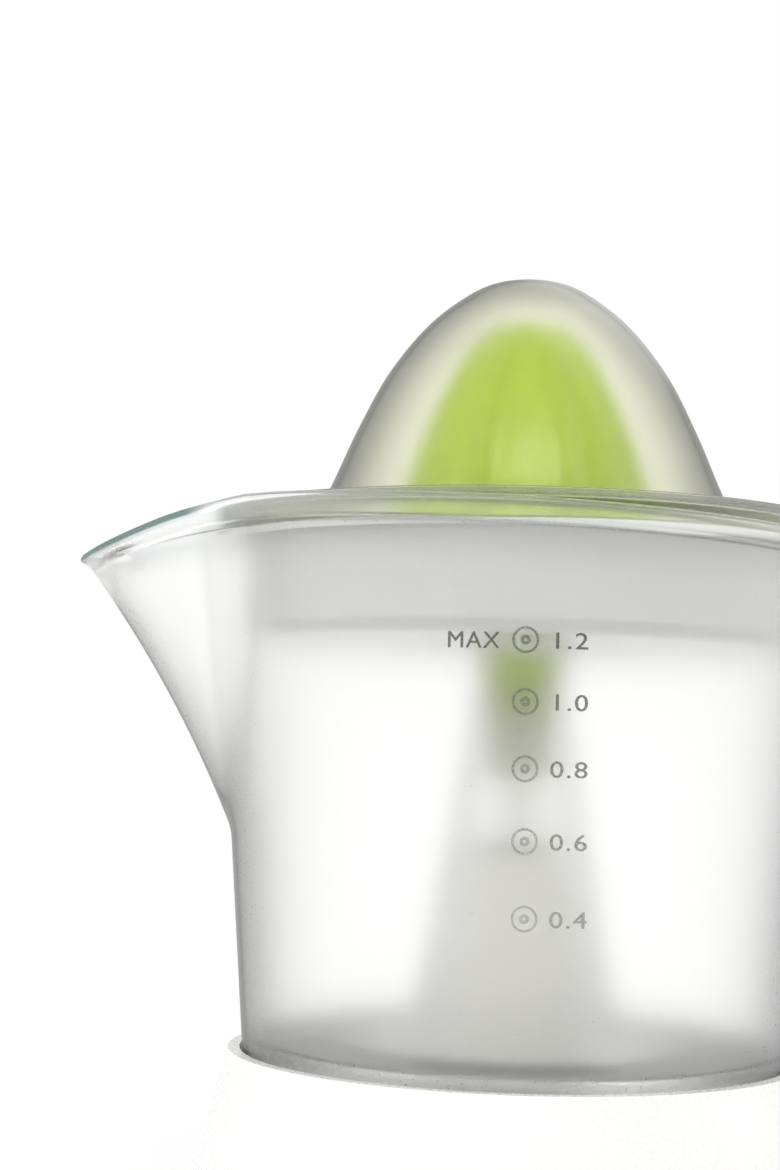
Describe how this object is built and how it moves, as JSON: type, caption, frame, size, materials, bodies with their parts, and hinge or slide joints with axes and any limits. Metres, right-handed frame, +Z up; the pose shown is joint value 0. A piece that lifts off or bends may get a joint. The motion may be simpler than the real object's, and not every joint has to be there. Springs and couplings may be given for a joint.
{
  "type": "citrus press juicer",
  "caption": "Electric citrus press: frosted jug with spout and handle on a motor base, strainer, ribbed lime cone and domed cover.",
  "frame": {"origin": "on the table under the drive shaft's axis, at the middle of the object's footprint", "axes": "+Z up along the drive shaft, -X towards the spout, +X towards the handle, -Y towards the volume scale"},
  "size_m": [0.2144, 0.157, 0.2483],
  "materials": {
    "frosted_clear": "frosted translucent plastic, polished at the rim and lip",
    "frosted_cover": "frosted translucent plastic",
    "lime_plastic": "smooth moulded lime green plastic",
    "white_plastic": "smooth white plastic",
    "strainer_plastic": "light grey translucent plastic",
    "dark_plastic": "fine matt",
    "gear_plastic": "natural acetal",
    "grey_plastic": "fine matt",
    "red_plastic": "smooth",
    "rubber": "matt",
    "steel": "ground",
    "laminations": "stacked sheets",
    "magnet": "sintered",
    "copper": "enamelled winding",
    "brass": "sintered bush"
  },
  "bodies": {
    "base": {"base_housing": "white_plastic", "base_plate": "grey_plastic", "rubber_feet": "rubber", "base_screws": "steel", "gearbox_plate": "grey_plastic", "gearbox_screws": "steel", "idler_axle": "steel", "rotor_bearings": "brass", "stator_core": "laminations", "coil_bobbins": "grey_plastic", "coil_windings": "copper", "motor_screws": "steel", "switch_body": "dark_plastic", "cord_gland": "rubber", "shaft_bush": "brass", "shaft_seal": "rubber"},
    "jug": {"jug": "frosted_clear"},
    "strainer": {"strainer_basket": "strainer_plastic"},
    "cover": {"dust_cover": "frosted_cover"},
    "bush": {"cone_bush": "white_plastic"},
    "cone": {"press_cone": "lime_plastic"},
    "output_gear": {"output_gear": "gear_plastic"},
    "shaft": {"drive_shaft": "steel", "drive_dog": "dark_plastic"},
    "idler": {"idler_gear": "gear_plastic"},
    "rotor": {"rotor_shaft": "steel", "rotor_magnet": "magnet", "rotor_pinion": "gear_plastic"},
    "cup": {"thrust_cup": "gear_plastic", "return_spring": "steel"},
    "plunger": {"switch_plunger": "red_plastic"}
  },
  "joints": [
    {"name": "jug_lift", "type": "slide", "parent": "base", "child": "jug", "axis": [0, 0, 1], "range_m": [0, 0.125]},
    {"name": "strainer_lift", "type": "slide", "parent": "jug", "child": "strainer", "axis": [0, 0, 1], "range_m": [0, 0.05]},
    {"name": "cover_lift", "type": "slide", "parent": "strainer", "child": "cover", "axis": [0, 0, 1], "range_m": [0, 0.08]},
    {"name": "cone_press", "type": "slide", "parent": "strainer", "child": "bush", "axis": [0, 0, 1], "range_m": [-0.0025, 0]},
    {"name": "cone_spin", "type": "hinge", "parent": "bush", "child": "cone", "pos_m": [0, 0, 0.19], "axis": [0, 0, 1], "continuous": true},
    {"name": "gear_spin", "type": "hinge", "parent": "base", "child": "output_gear", "pos_m": [0, 0, 0.05], "axis": [0, 0, 1], "continuous": true},
    {"name": "shaft_press", "type": "slide", "parent": "output_gear", "child": "shaft", "axis": [0, 0, 1], "range_m": [-0.0025, 0]},
    {"name": "idler_spin", "type": "hinge", "parent": "base", "child": "idler", "pos_m": [-0.02632, -0.02089, 0.045], "axis": [0, 0, 1], "continuous": true},
    {"name": "rotor_spin", "type": "hinge", "parent": "base", "child": "rotor", "pos_m": [0, -0.034, 0.02], "axis": [0, 0, 1], "continuous": true},
    {"name": "cup_press", "type": "slide", "parent": "base", "child": "cup", "axis": [0, 0, 1], "range_m": [-0.0025, 0], "stiffness_N_per_m": 800, "springref_m": 0.006, "deforming": ["return_spring"]},
    {"name": "plunger_press", "type": "slide", "parent": "base", "child": "plunger", "axis": [0, 0, 1], "range_m": [-0.0025, 0]}
  ],
  "couplings": [
    {"joint": "gear_spin", "follows": "cone_spin", "ratio": 1},
    {"joint": "idler_spin", "follows": "cone_spin", "ratio": -5},
    {"joint": "rotor_spin", "follows": "cone_spin", "ratio": 25},
    {"joint": "shaft_press", "follows": "cone_press", "ratio": 1},
    {"joint": "cup_press", "follows": "cone_press", "ratio": 1},
    {"joint": "plunger_press", "follows": "cone_press", "ratio": 1}
  ]
}
